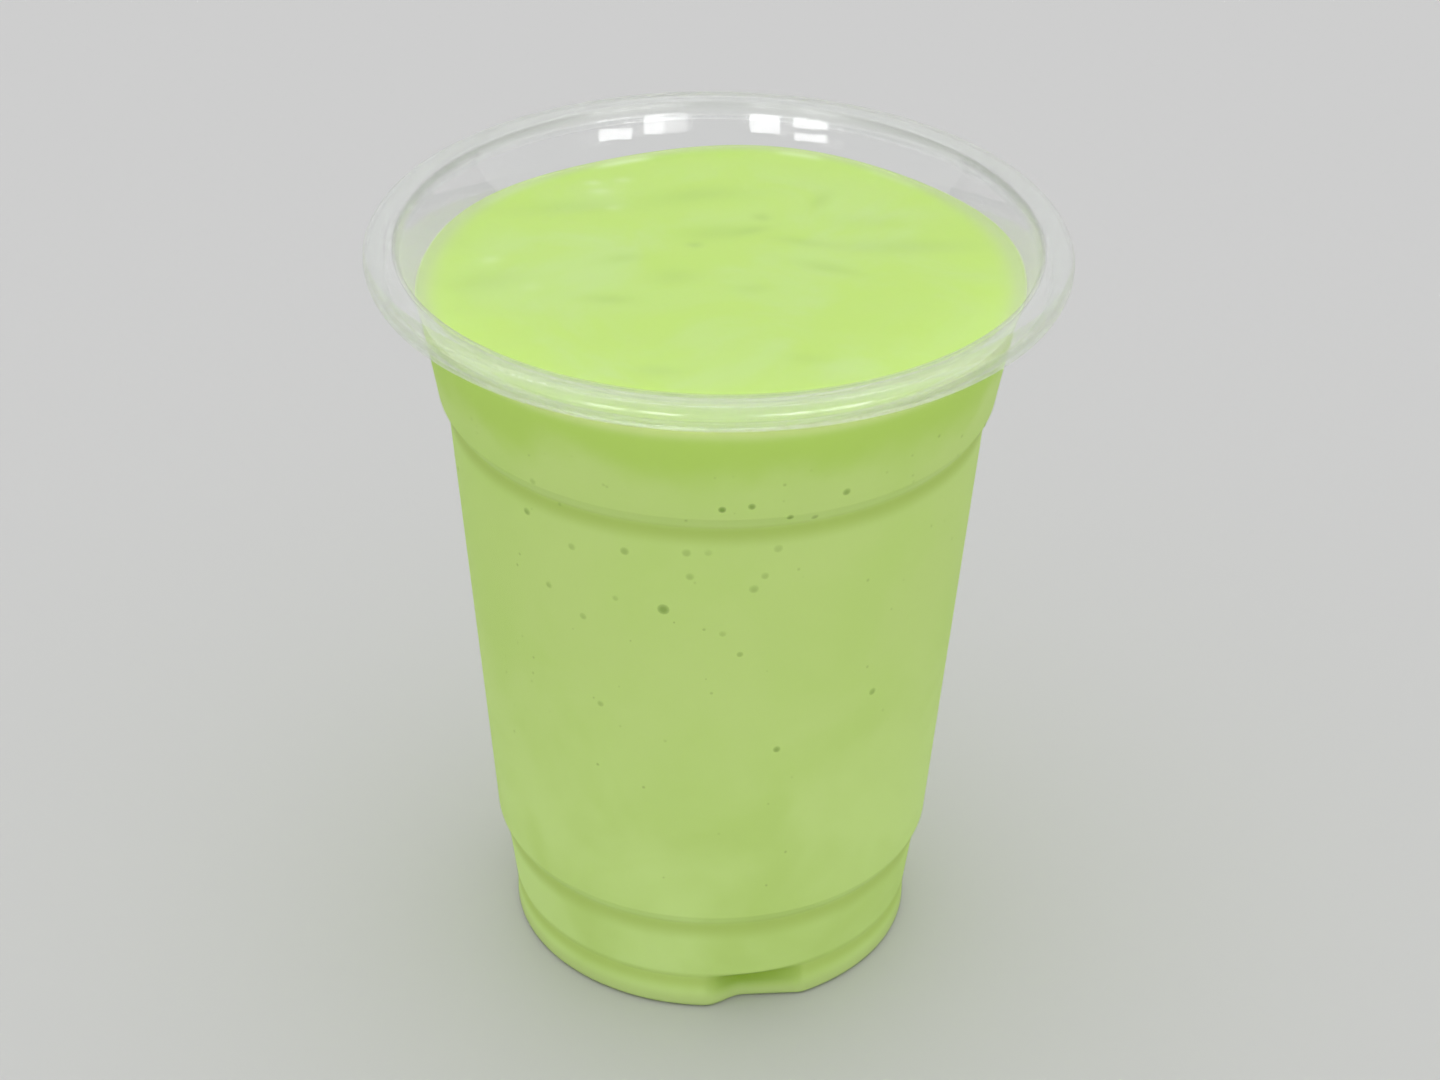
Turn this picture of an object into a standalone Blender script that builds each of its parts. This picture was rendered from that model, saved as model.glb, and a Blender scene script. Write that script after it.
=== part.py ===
"""A clear plastic cup filled almost to the brim with avocado shake.

Metres, +Z up. The cup stands on z = 0 with its axis on Z, and its front is -Y.
The cup is one thin sheet, formed from a flat one: a curled bead round the brim, a short cone inside it,
a flared neck, a shoulder, a tapered wall, a step near the foot, and a base that is pushed up in the middle.
The shake is one solid that fills it, a hair's breadth clear of the sheet on every side.
"""
import math

import bpy
import numpy as np

OBJECT_NAME = "avocado_shake_in_cup"

# Driving sizes of the cup
HEIGHT = 0.1095
RIM_RADIUS = 0.0475
SHEET = 0.0005
BEAD_RADIUS = 0.0020
BEAD_TUCKED_END = math.radians(-120)
CONE_DIP = math.radians(37)

# Corners of the sheet's outside from the brim down: radius, height, and the radius that rounds the corner
THROAT = (0.0431, 0.10755, 0.0020)
NECK = (0.0409, 0.1030, 0.0300)
SHOULDER_TOP = (0.0383, 0.0880, 0.0010)
SHOULDER_FOOT = (0.03708, 0.0860, 0.0004)
STEP_TOP = (0.0316, 0.0184, 0.0010)
STEP_FOOT = (0.0306, 0.0166, 0.0004)
CREASE_TOP = (0.0293, 0.0064, 0.0010)
CREASE_FOOT = (0.0290, 0.0054, 0.0005)
RECESS_FLOOR = (0.0290, 0.0042, 0.0)
FOOT_EDGE = (0.02905, 0.0, 0.0009)
RING_INSIDE = (0.0236, 0.0, 0.0011)
PANEL_EDGE = (0.0228, 0.0038, 0.0010)
PANEL_MIDDLE = (0.0, 0.0044, 0.0)
WALL_CORNERS = (
    THROAT,
    NECK,
    SHOULDER_TOP,
    SHOULDER_FOOT,
    STEP_TOP,
    STEP_FOOT,
    CREASE_TOP,
    CREASE_FOOT,
    RECESS_FLOOR,
    FOOT_EDGE,
    RING_INSIDE,
    PANEL_EDGE,
    PANEL_MIDDLE,
)

# Notches moulded into the edge of the foot, evenly spaced. Each is a flat cut that is steeper at its left end
NOTCHES = 3
FLAT_FACES = math.radians(-85)
FLAT_DISTANCE = 0.0268
STEEP_END = math.radians(-91.4)
STEEP_END_WIDTH = math.radians(12)
NOTCH_TOP = 0.0046
NOTCH_INNER_RADIUS = 0.0195
NOTCH_FULL_RADIUS = 0.0260

# The shake
GAP = 0.0003
LEVEL = 0.1030
MENISCUS_RISE = 0.0008
MENISCUS_REACH = 0.0012
TOP_RINGS = (0.0, 0.012, 0.021, 0.029, 0.035, 0.038)
TILT = 0.019
EDGE_WAVES = 5
EDGE_WAVE_HEIGHT = 0.0004
EDGE_WAVE_CREST = math.radians(80)
FRONT_WAVE_SHARE = 0.5
STILL_DEPTH = 0.009

# Fineness of the turned shapes
SEGMENTS = 60
ARC_STEP = math.radians(31)
MERGE_DISTANCE = 0.00001


def arc(centre, radius, start, end):
    """Points along an arc, in steps no wider than ARC_STEP."""
    steps = max(1, math.ceil(abs(end - start) / ARC_STEP))
    angles = np.linspace(start, end, steps + 1)
    return np.stack([centre[0] + radius * np.cos(angles), centre[1] + radius * np.sin(angles)], 1)


def fillet(before, corner, after, radius):
    """The corner of a path, rounded by an arc that touches both of its sides."""
    corner = np.array(corner)
    towards = np.array(after) - corner
    back = np.array(before) - corner
    towards /= np.linalg.norm(towards)
    back /= np.linalg.norm(back)
    half = math.acos(float(np.dot(back, towards))) / 2
    if radius == 0:
        return corner[None]
    middle = (back + towards) / np.linalg.norm(back + towards)
    centre = corner + middle * radius / math.sin(half)
    first = corner + back * radius / math.tan(half) - centre
    last = corner + towards * radius / math.tan(half) - centre
    start = math.atan2(first[1], first[0])
    turn = math.atan2(first[0] * last[1] - first[1] * last[0], float(np.dot(first, last)))
    return arc(centre, radius, start, start + turn)


def sheet_outside():
    """The outer face of the sheet as a path from the bead's tucked end, over the brim, to the base's middle."""
    bead_centre = (RIM_RADIUS - BEAD_RADIUS, HEIGHT - BEAD_RADIUS)
    curl = arc(bead_centre, BEAD_RADIUS - SHEET, BEAD_TUCKED_END, math.pi / 2)
    crest = arc(bead_centre, BEAD_RADIUS - SHEET, math.pi / 2, math.pi / 2 + CONE_DIP)
    bead = np.concatenate([curl, crest[1:]])
    corners = [tuple(bead[-1])] + [corner[:2] for corner in WALL_CORNERS]
    path = [bead]
    for i, corner in enumerate(WALL_CORNERS[:-1], start=1):
        path.append(fillet(corners[i - 1], corners[i], corners[i + 1], corner[2]))
    path.append(np.array([PANEL_MIDDLE[:2]]))
    return np.concatenate(path)


def moved_inward(path, distance):
    """The path moved to its right, into the cup, with mitred corners. Its last point stays on the axis."""
    side = np.diff(path, axis=0)
    side /= np.linalg.norm(side, axis=1)[:, None]
    right = np.stack([side[:, 1], -side[:, 0]], 1)
    right = np.concatenate([right[:1], right, [[0.0, 1.0]]])
    sum_of_two = right[:-1] + right[1:]
    mitre = sum_of_two / (1 + np.sum(right[:-1] * right[1:], axis=1))[:, None]
    moved = path + mitre * distance
    moved[-1, 0] = 0
    return moved


def cup_profile():
    """From the middle of the floor, up the inside, over the brim, and down the outside to the middle of the base."""
    outside = sheet_outside()
    inside = moved_inward(outside, SHEET)
    return np.concatenate([inside[::-1], outside])


def shake_side():
    """The shake's side and underside, from its level edge down to the middle."""
    path = moved_inward(sheet_outside(), SHEET + GAP)
    start = len(path) - np.argmax(path[::-1, 1] > LEVEL)
    below = path[start:]
    above = path[start - 1]
    share = (LEVEL - below[0, 1]) / (above[1] - below[0, 1])
    edge = below[0] + share * (above - below[0])
    return np.concatenate([[edge], below])


def shake_profile():
    """From the middle of the top, out over the rise at the wall, and down the side to the middle of the base."""
    side = shake_side()
    radii = np.array([*TOP_RINGS, side[0, 0] - MENISCUS_REACH])
    heights = LEVEL - MENISCUS_RISE * (1 - np.exp((radii - side[0, 0]) / MENISCUS_REACH))
    return np.concatenate([np.stack([radii, heights], 1), side])


def turned(name, profile):
    """A mesh made by turning a profile, given as radius and height, once round Z."""
    mesh = bpy.data.meshes.new(name + "_profile")
    points = [(float(r), 0.0, float(z)) for r, z in profile]
    mesh.from_pydata(points, [(i, i + 1) for i in range(len(points) - 1)], [])
    profile_object = bpy.data.objects.new(name + "_profile", mesh)
    bpy.context.scene.collection.objects.link(profile_object)
    screw = profile_object.modifiers.new("turn", "SCREW")
    screw.axis = "Z"
    screw.angle = 2 * math.pi
    screw.steps = SEGMENTS
    screw.render_steps = SEGMENTS
    screw.use_merge_vertices = True
    screw.merge_threshold = MERGE_DISTANCE
    evaluated = profile_object.evaluated_get(bpy.context.evaluated_depsgraph_get())
    solid = bpy.data.meshes.new_from_object(evaluated)
    solid.name = name
    bpy.data.objects.remove(profile_object)
    return solid


def ramp(value, low, high):
    """0 up to low, 1 from high, and a straight line between them."""
    return np.clip((value - low) / (high - low), 0, 1)


def notched(points):
    """The foot pushed in at each notch as far as the flat. Solid and sheet move alike, so nothing closes up.

    The flat is FLAT_DISTANCE from the axis, and meets the round foot again on its right.
    """
    radius = np.hypot(points[:, 0], points[:, 1])
    angle = np.arctan2(points[:, 1], points[:, 0])
    spacing = 2 * math.pi / NOTCHES
    off_middle = (angle - FLAT_FACES + spacing / 2) % spacing - spacing / 2
    steep_end = STEEP_END - FLAT_FACES
    push = np.maximum(FOOT_EDGE[0] - FLAT_DISTANCE / np.cos(off_middle), 0)
    push *= ramp(off_middle, steep_end, steep_end + STEEP_END_WIDTH)
    push *= ramp(radius, NOTCH_INNER_RADIUS, NOTCH_FULL_RADIUS)
    push *= 1 - ramp(points[:, 2], NOTCH_TOP, CREASE_TOP[1])
    scale = 1 - push / np.maximum(radius, MERGE_DISTANCE)
    return points * np.stack([scale, scale, np.ones_like(scale)], 1)


def wall_radius(heights):
    """The shake's radius where it meets the wall. Above the level edge the wall goes on at the same slope."""
    side = shake_side()[::-1]
    wall = side[np.argmax(side[:, 1] > STEP_FOOT[1]):]
    slope = (wall[-1, 0] - wall[-2, 0]) / (wall[-1, 1] - wall[-2, 1])
    return np.interp(heights, wall[:, 1], wall[:, 0]) + slope * np.maximum(heights - LEVEL, 0)


def uneven_top(points):
    """The shake's top tilted and waved a little, less at the front, with its edge kept on the wall."""
    angle = np.arctan2(points[:, 1], points[:, 0])
    radius = np.hypot(points[:, 0], points[:, 1])
    front = (1 - np.sin(angle)) / 2
    wave = np.cos(EDGE_WAVES * (angle - EDGE_WAVE_CREST)) * (1 - (1 - FRONT_WAVE_SHARE) * front)
    lift = TILT * points[:, 0] + EDGE_WAVE_HEIGHT * wave * (radius / RIM_RADIUS) ** 2
    height = points[:, 2] + lift * ramp(points[:, 2], LEVEL - STILL_DEPTH, LEVEL - MENISCUS_RISE)
    scale = wall_radius(height) / wall_radius(points[:, 2])
    return np.stack([points[:, 0] * scale, points[:, 1] * scale, height], 1)


def reshape(mesh, rule):
    """Moves every point of a mesh by a rule on the whole array of points."""
    points = np.empty(len(mesh.vertices) * 3)
    mesh.vertices.foreach_get("co", points)
    mesh.vertices.foreach_set("co", rule(points.reshape(-1, 3)).ravel())
    mesh.update()


def material(name, colour, roughness, transmission=0.0, ior=1.45):
    """A material with one Principled BSDF."""
    made = bpy.data.materials.new(name)
    made.use_nodes = True
    shader = made.node_tree.nodes["Principled BSDF"]
    shader.inputs["Base Color"].default_value = (*colour, 1)
    shader.inputs["Roughness"].default_value = roughness
    shader.inputs["Metallic"].default_value = 0.0
    shader.inputs["Transmission Weight"].default_value = transmission
    shader.inputs["IOR"].default_value = ior
    return made


def add_part(collection, mesh, finish):
    """Puts a finished mesh in the object's collection as a sub-part of its own.

    Each four-sided face is split along its shorter diagonal, so that two faces a sheet apart split alike.
    """
    mesh.materials.append(finish)
    mesh.shade_smooth()
    mesh.set_sharp_from_angle(angle=ARC_STEP)
    part = bpy.data.objects.new(mesh.name, mesh)
    collection.objects.link(part)
    split = part.modifiers.new("split", "TRIANGULATE")
    split.quad_method = "SHORTEST_DIAGONAL"


def build():
    """Makes the cup and the shake in it."""
    for old in list(bpy.data.objects):
        bpy.data.objects.remove(old)
    parts = bpy.data.collections.new(OBJECT_NAME)
    bpy.context.scene.collection.children.link(parts)

    cup = turned("cup", cup_profile())
    reshape(cup, notched)
    add_part(parts, cup, material("clear_plastic", (0.93, 0.95, 0.94), 0.05, transmission=1.0, ior=1.57))

    shake = turned("avocado_shake", shake_profile())
    reshape(shake, notched)
    reshape(shake, uneven_top)
    add_part(parts, shake, material("avocado_shake", (0.42, 0.68, 0.16), 0.4))


build()
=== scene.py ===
# %% [markdown]
# A clear plastic cup of avocado shake
#
# This lesson gives a finished look to a small model: one clear plastic cup, formed from a single thin
# sheet, and the pale green shake that fills it almost to the brim.
#
# The plain solids of both pieces come ready made, at their real size, from a fixed frame. The cells below
# never move them. They build a finer surface over each, give it a material, and then add a floor, soft
# lights and a camera. Everything is in metres unless a comment says otherwise, the cup stands on z = 0 with
# its axis on Z, and its front is -Y.

# %% Load the frame
import math

import bpy
import numpy as np
from mathutils import Matrix, Vector


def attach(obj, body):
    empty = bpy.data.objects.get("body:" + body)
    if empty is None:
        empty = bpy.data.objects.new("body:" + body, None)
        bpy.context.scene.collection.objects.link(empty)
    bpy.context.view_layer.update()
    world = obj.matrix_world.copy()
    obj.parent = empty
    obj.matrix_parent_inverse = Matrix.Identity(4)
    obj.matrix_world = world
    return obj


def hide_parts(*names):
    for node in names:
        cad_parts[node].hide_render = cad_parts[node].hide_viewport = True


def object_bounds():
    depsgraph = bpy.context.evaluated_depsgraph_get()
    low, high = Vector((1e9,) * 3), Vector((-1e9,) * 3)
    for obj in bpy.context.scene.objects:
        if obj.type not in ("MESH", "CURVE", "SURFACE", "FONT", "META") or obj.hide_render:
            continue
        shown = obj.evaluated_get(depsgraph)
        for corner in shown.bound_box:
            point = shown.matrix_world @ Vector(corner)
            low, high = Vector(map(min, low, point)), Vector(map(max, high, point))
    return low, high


MM_PER_M = 1000

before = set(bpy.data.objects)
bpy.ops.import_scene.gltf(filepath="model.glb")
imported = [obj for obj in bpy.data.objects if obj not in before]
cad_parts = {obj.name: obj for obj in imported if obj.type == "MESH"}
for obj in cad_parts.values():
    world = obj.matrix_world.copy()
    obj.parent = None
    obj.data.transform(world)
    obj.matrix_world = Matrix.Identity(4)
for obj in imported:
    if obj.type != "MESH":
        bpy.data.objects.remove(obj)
solid_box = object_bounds()
solid_size = [round(MM_PER_M * side, 2) for side in solid_box[1] - solid_box[0]]
print("solids:", sorted(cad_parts), "box in mm:", solid_size)

# %% [markdown]
# The camera
#
# A photograph fixes its camera if the real size of something in it is known. Here the brim, 95 mm across,
# was taken as that size, and the camera was moved until the cup's outline, brim, shoulder and foot fell
# where the photograph shows them. What came out is a long lens, 46 cm away, that looks down on the cup by
# 32 degrees. A long lens is why the two sides of the cup taper so evenly. The camera also leans to one side
# by less than a degree, as hand-held ones do.

# %% Place the camera
# Lens and sensor in mm
LENS = 81.9
SENSOR_WIDTH = 36
CLIP_START = 0.01
CAMERA_DISTANCE = 0.4628
CAMERA_ELEVATION = math.radians(31.96)
CAMERA_LEAN = math.radians(0.85)
LOOK_AT = Vector((0.00072, 0, 0.0613))


def add_camera():
    """A camera at CAMERA_DISTANCE from LOOK_AT, in front of the cup and above it."""
    data = bpy.data.cameras.new("camera")
    data.lens = LENS
    data.sensor_width = SENSOR_WIDTH
    data.clip_start = CLIP_START
    camera = bpy.data.objects.new("camera", data)
    back = Vector((0, -math.cos(CAMERA_ELEVATION), math.sin(CAMERA_ELEVATION)))
    right = Vector((1, 0, 0))
    up = back.cross(right)
    turned_right = right * math.cos(CAMERA_LEAN) + up * math.sin(CAMERA_LEAN)
    turned_up = up * math.cos(CAMERA_LEAN) - right * math.sin(CAMERA_LEAN)
    axes = Matrix((turned_right, turned_up, back)).transposed()
    camera.matrix_world = Matrix.Translation(LOOK_AT + back * CAMERA_DISTANCE) @ axes.to_4x4()
    bpy.context.scene.collection.objects.link(camera)
    bpy.context.scene.camera = camera
    return camera


camera = add_camera()
print("camera at, in mm:", [round(MM_PER_M * c, 1) for c in camera.matrix_world.translation])

# %% [markdown]
# Round shapes from a path
#
# A formed cup is a turned shape, so one path from its brim to the middle of its base says almost all about
# it. The path is written as a few corners, each with the radius that rounds it, because that is how a mould
# for such a cup is drawn. A fillet replaces each corner by an arc that touches both of its sides. The Bevel
# modifier could round the corners too, but with a formula the radius of each is exact, and the same path
# can be moved inward by the sheet's thickness.

# %% Arcs, fillets and a path moved inward
ARC_STEP = math.radians(9)
ARC_LONGEST_SIDE = 0.0006


def arc(centre, radius, start, end):
    """Points at equal angles along an arc: centre + radius times the cosine and the sine of each angle."""
    turn = abs(end - start)
    steps = max(2, math.ceil(turn / ARC_STEP), math.ceil(turn * radius / ARC_LONGEST_SIDE))
    angles = np.linspace(start, end, steps + 1)
    return np.stack([centre[0] + radius * np.cos(angles), centre[1] + radius * np.sin(angles)], 1)


def fillet(before, corner, after, radius):
    """A corner rounded by an arc. Its centre is radius / sin(half angle) away, halfway between the sides."""
    corner = np.array(corner)
    towards = np.array(after) - corner
    back = np.array(before) - corner
    towards /= np.linalg.norm(towards)
    back /= np.linalg.norm(back)
    half = math.acos(float(np.dot(back, towards))) / 2
    middle = (back + towards) / np.linalg.norm(back + towards)
    centre = corner + middle * radius / math.sin(half)
    first = corner + back * radius / math.tan(half) - centre
    last = corner + towards * radius / math.tan(half) - centre
    start = math.atan2(first[1], first[0])
    turn = math.atan2(first[0] * last[1] - first[1] * last[0], float(np.dot(first, last)))
    return arc(centre, radius, start, start + turn)


def moved_inward(path, distance):
    """The path moved to its right, into the cup. Each point goes along the mitre of its two sides."""
    side = np.diff(path, axis=0)
    side /= np.linalg.norm(side, axis=1)[:, None]
    right = np.stack([side[:, 1], -side[:, 0]], 1)
    # The last point is on the axis, where inward is straight up
    right = np.concatenate([right[:1], right, [[0.0, 1.0]]])
    both = right[:-1] + right[1:]
    mitre = both / (1 + np.sum(right[:-1] * right[1:], axis=1))[:, None]
    moved = path + mitre * distance
    moved[-1, 0] = 0
    return moved


def with_more_points(path, widest):
    """Each side of the path cut into equal pieces no longer than widest(height), for even shading."""
    pieces = []
    for start, end in zip(path[:-1], path[1:]):
        count = max(1, math.ceil(np.linalg.norm(end - start) / widest(min(start[1], end[1]))))
        share = np.arange(count)[:, None] / count
        pieces.append(start + share * (end - start))
    return np.concatenate(pieces + [path[-1:]])


print("a quarter circle of 2 mm radius gets", len(arc((0, 0), 0.002, 0, math.pi / 2)), "points")

# %% [markdown]
# The path of the cup's sheet
#
# These are the cup's driving sizes. From the top: a curled bead, which stiffens the brim and feels smooth
# to the lips; a fold and a short steep wall inside it, where a lid would snap in; a neck that flares; a
# shoulder, which lets stacked cups come apart; the long tapered wall; a step; a crease; and the foot with a
# base that is pushed up, so that it stands on a ring.

# %% Corners of the sheet's outside
HEIGHT = 0.1095
RIM_RADIUS = 0.0475
SHEET = 0.0005
BEAD_RADIUS = 0.0020
# On the bead's circle: the angle of its tucked end, and how far past its top it runs on inward
BEAD_TUCKED_END = math.radians(-120)
BEAD_TOP_DIP = math.radians(15)

# Radius, height, and the radius that rounds the corner
BEAD_INSIDE = (0.0436, 0.10906, 0.0005)
THROAT = (0.0431, 0.10755, 0.0020)
NECK = (0.0409, 0.1030, 0.0300)
SHOULDER_TOP = (0.0383, 0.0880, 0.0010)
SHOULDER_FOOT = (0.03708, 0.0860, 0.0008)
STEP_TOP = (0.0316, 0.0184, 0.0010)
STEP_FOOT = (0.0306, 0.0166, 0.0006)
CREASE_TOP = (0.0293, 0.0064, 0.0006)
CREASE_FOOT = (0.0290, 0.0055, 0.0003)
FOOT_EDGE = (0.02905, 0.0, 0.0009)
RING_INSIDE = (0.0236, 0.0, 0.0011)
PANEL_EDGE = (0.0228, 0.0038, 0.0010)
PANEL_MIDDLE = (0.0, 0.0044)
CORNERS = (BEAD_INSIDE, THROAT, NECK, SHOULDER_TOP, SHOULDER_FOOT, STEP_TOP, STEP_FOOT, CREASE_TOP,
           CREASE_FOOT, FOOT_EDGE, RING_INSIDE, PANEL_EDGE)
WIDEST_ON_FOOT = 0.0006
WIDEST_ON_WALL = 0.0030


def widest_at(height):
    """The longest piece that the path may have at a height. The foot bends more, so its pieces are short."""
    return WIDEST_ON_FOOT if height < STEP_FOOT[1] else WIDEST_ON_WALL


def sheet_outside():
    """The sheet's outer face: from the bead's tucked end, over the brim and down, to the base's middle."""
    bead_centre = (RIM_RADIUS - BEAD_RADIUS, HEIGHT - BEAD_RADIUS)
    bead = arc(bead_centre, BEAD_RADIUS - SHEET, BEAD_TUCKED_END, math.pi / 2 + BEAD_TOP_DIP)
    turns = [tuple(bead[-1])] + [corner[:2] for corner in CORNERS] + [PANEL_MIDDLE]
    path = [bead]
    for i, corner in enumerate(CORNERS, start=1):
        path.append(fillet(turns[i - 1], turns[i], turns[i + 1], corner[2]))
    path.append(np.array([PANEL_MIDDLE]))
    return with_more_points(np.concatenate(path), widest_at)


OUTSIDE = sheet_outside()
print("path of the sheet:", len(OUTSIDE), "points")

# %% [markdown]
# From a path to a surface
#
# The surface is a grid: one row for each point of the path and one column for each angle round the axis.
# Its two parameters are the row and the angle, and every rule that follows (the notches, the waves of the
# drink) works on whole arrays of radius, height and angle. Only at the end do they become x, y and z. The
# two ends of the path are on the axis, where a row would shrink to one spot, so each end is a single point
# with a fan of triangles round it.

# %% A turned grid becomes a mesh
SEGMENTS = 240


def grid_of(path, segments=SEGMENTS):
    """Arrays of radius, height and angle: a row for each point of the path, a column for each angle."""
    angle = np.arange(segments) * 2 * math.pi / segments
    radius = np.repeat(path[:, :1], segments, 1)
    height = np.repeat(path[:, 1:], segments, 1)
    return radius, height, np.repeat(angle[None], len(path), 0)


def one_at_ends(rows):
    """The values of a grid in a line, with its first and its last row as one value each."""
    inner = rows[1:-1].reshape(-1, *rows.shape[2:])
    return np.concatenate([rows[:1, 0], inner, rows[-1:, 0]])


def turned_faces(rows, columns):
    """Quads between the inner rows, and triangles in two fans that close the grid's first and last end."""
    ring = np.arange(columns)
    after = (ring + 1) % columns
    start = 1 + np.arange(rows - 3)[:, None] * columns
    quads = np.stack([start + ring, start + columns + ring, start + columns + after, start + after], 2)
    last_row = 1 + (rows - 3) * columns
    end_point = last_row + columns
    first_fan = np.stack([np.zeros(columns, int), 1 + ring, 1 + after], 1)
    end_fan = np.stack([last_row + ring, np.full(columns, end_point), last_row + after], 1)
    return quads.reshape(-1, 4), np.concatenate([first_fan, end_fan])


def turned_mesh(name, radius, height, angle):
    """A closed mesh: x = radius cos(angle), y = radius sin(angle), z = height."""
    points = one_at_ends(np.stack([radius * np.cos(angle), radius * np.sin(angle), height], 2))
    quads, triangles = turned_faces(*radius.shape)
    loops = np.concatenate([quads.ravel(), triangles.ravel()])
    sizes = np.concatenate([np.full(len(quads), 4), np.full(len(triangles), 3)])
    mesh = bpy.data.meshes.new(name)
    mesh.vertices.add(len(points))
    mesh.vertices.foreach_set("co", points.ravel())
    mesh.loops.add(len(loops))
    mesh.loops.foreach_set("vertex_index", loops)
    mesh.polygons.add(len(sizes))
    mesh.polygons.foreach_set("loop_start", np.concatenate([[0], np.cumsum(sizes)[:-1]]))
    mesh.update(calc_edges=True)
    mesh.shade_smooth()
    return mesh


def store(mesh, name, values):
    """A number for each point of a mesh, under a name that its material can read."""
    mesh.attributes.new(name, "FLOAT", "POINT").data.foreach_set("value", values)


def add_piece(mesh, body="root"):
    """An object at the origin that holds the mesh and rides on a body of the frame."""
    piece = bpy.data.objects.new(mesh.name, mesh)
    bpy.context.scene.collection.objects.link(piece)
    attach(piece, body)
    mesh.calc_loop_triangles()
    print(mesh.name, len(mesh.vertices), "points,", len(mesh.loop_triangles), "triangles")
    return piece


print("a turned grid has", SEGMENTS, "columns, one for every", 360 / SEGMENTS, "degrees")

# %% [markdown]
# The notches in the foot
#
# The foot has shallow notches in its edge. Each is a flat cut: steeper at its left end, and running out
# into the round foot at its right. A Boolean could cut them, but sheet and drink would then need cutters of
# their own. A rule that pushes points inward bends both alike, so the drink still follows the plastic.

# %% Push the foot in at each notch
NOTCHES = 3
FLAT_FACES = math.radians(-85)
FLAT_DISTANCE = 0.0268
STEEP_END = math.radians(-91.4)
STEEP_END_WIDTH = math.radians(12)
NOTCH_INNER_RADIUS = 0.0195
NOTCH_FULL_RADIUS = 0.0262
NOTCH_FULL_BELOW = CREASE_FOOT[1] - 0.0004
NOTCH_NONE_ABOVE = CREASE_TOP[1] - 0.0002


def smooth_step(value, low, high):
    """0 up to low and 1 from high, with the curve 3t^2 - 2t^3 between them."""
    t = np.clip((value - low) / (high - low), 0, 1)
    return t * t * (3 - 2 * t)


def notch_depth(angle):
    """How far the foot is pushed in: its radius - distance / cos(angle off the middle) leaves a flat."""
    spacing = 2 * math.pi / NOTCHES
    off_middle = (angle - FLAT_FACES + spacing / 2) % spacing - spacing / 2
    flat = np.maximum(FOOT_EDGE[0] - FLAT_DISTANCE / np.cos(off_middle), 0)
    steep = STEEP_END - FLAT_FACES
    return flat * smooth_step(off_middle, steep, steep + STEEP_END_WIDTH)


def notched(radius, height, angle):
    """Each point of the foot's edge pushed in by the depth of the notch at its angle."""
    outward = smooth_step(radius, NOTCH_INNER_RADIUS, NOTCH_FULL_RADIUS)
    below_crease = 1 - smooth_step(height, NOTCH_FULL_BELOW, NOTCH_NONE_ABOVE)
    return radius - notch_depth(angle) * outward * below_crease, height, angle


deepest = notch_depth(np.radians(np.arange(360))).max()
print(NOTCHES, "notches, about", round(MM_PER_M * deepest, 1), "mm deep")

# %% [markdown]
# The cup as one surface
#
# The sheet has two faces, everywhere the same distance apart. The Solidify modifier could add the second
# face, but the inner path is known as exactly as the outer one. So both are turned at once, and the piece
# is closed from the start. Inside the brim the sheet bends sharply, and this fold shows as a soft darker
# line. How near each point is to it is stored on the points, where the plastic's finish reads it later.

# %% Build the cup
FOLD_WIDTH = 0.0003
FOLD_AT_BACK = 0.3
FOLD_BACK_POWER = 6
SHARP_FROM = math.radians(50)


def fold_at(radius, height, angle):
    """How near a point is to the fold: a bell curve of the distance, and less of it at the back."""
    off = np.hypot(radius - BEAD_INSIDE[0] + SHEET / 2, height - BEAD_INSIDE[1] + SHEET / 2)
    around = 1 - (1 - FOLD_AT_BACK) * np.maximum(np.sin(angle), 0) ** FOLD_BACK_POWER
    return around * np.exp(-(off / FOLD_WIDTH) ** 2)


def build_cup():
    """Up the inside of the sheet, over the brim, and down the outside, turned once round the axis."""
    inside = moved_inward(OUTSIDE, SHEET)
    path = np.concatenate([inside[::-1], OUTSIDE])
    radius, height, angle = notched(*grid_of(path))
    mesh = turned_mesh("cup_sheet", radius, height, angle)
    store(mesh, "fold", one_at_ends(fold_at(radius, height, angle)))
    mesh.set_sharp_from_angle(angle=SHARP_FROM)
    return add_piece(mesh)


cup = build_cup()
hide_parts("cup")

# %% [markdown]
# The drink
#
# A drink wets its cup. There is no air between the two, and that decides the look: through wet plastic the
# green reaches the very edge of the outline. So the drink's skin is put inside the thickness of the
# plastic, where a ray of light meets it before it could meet the plastic's inner face. At its top the drink
# climbs the wall a little, and its edge is tilted and wavy, because so thick a drink hardly levels itself.

# %% The drink's side, top and edge
SKIN_DEPTH = 0.00016
LEVEL = 0.1030
MENISCUS_RISE = 0.0008
MENISCUS_REACH = 0.0012
# Distances from the wall of the rings that carry the rise, as shares of its reach
MENISCUS_RINGS = np.array([3, 2.5, 2, 1.6, 1.3, 1.0, 0.8, 0.6, 0.4, 0.25, 0.1])
TILT = 0.019
EDGE_WAVES = 5
EDGE_WAVE_HEIGHT = 0.0004
EDGE_WAVE_CREST = math.radians(80)
FRONT_WAVE_SHARE = 0.5
# The tilt and the waves fade out from the edge down to this depth
STILL_DEPTH = 0.009
TOP_RING_STEP = 0.0006
DRINK_SEGMENTS = 320


def drink_side():
    """The drink's side and underside, from its level edge down to the middle of the base."""
    path = moved_inward(OUTSIDE, SKIN_DEPTH)
    start = len(path) - np.argmax(path[::-1, 1] > LEVEL)
    below, above = path[start:], path[start - 1]
    share = (LEVEL - below[0, 1]) / (above[1] - below[0, 1])
    return np.concatenate([[below[0] + share * (above - below[0])], below])


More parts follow.
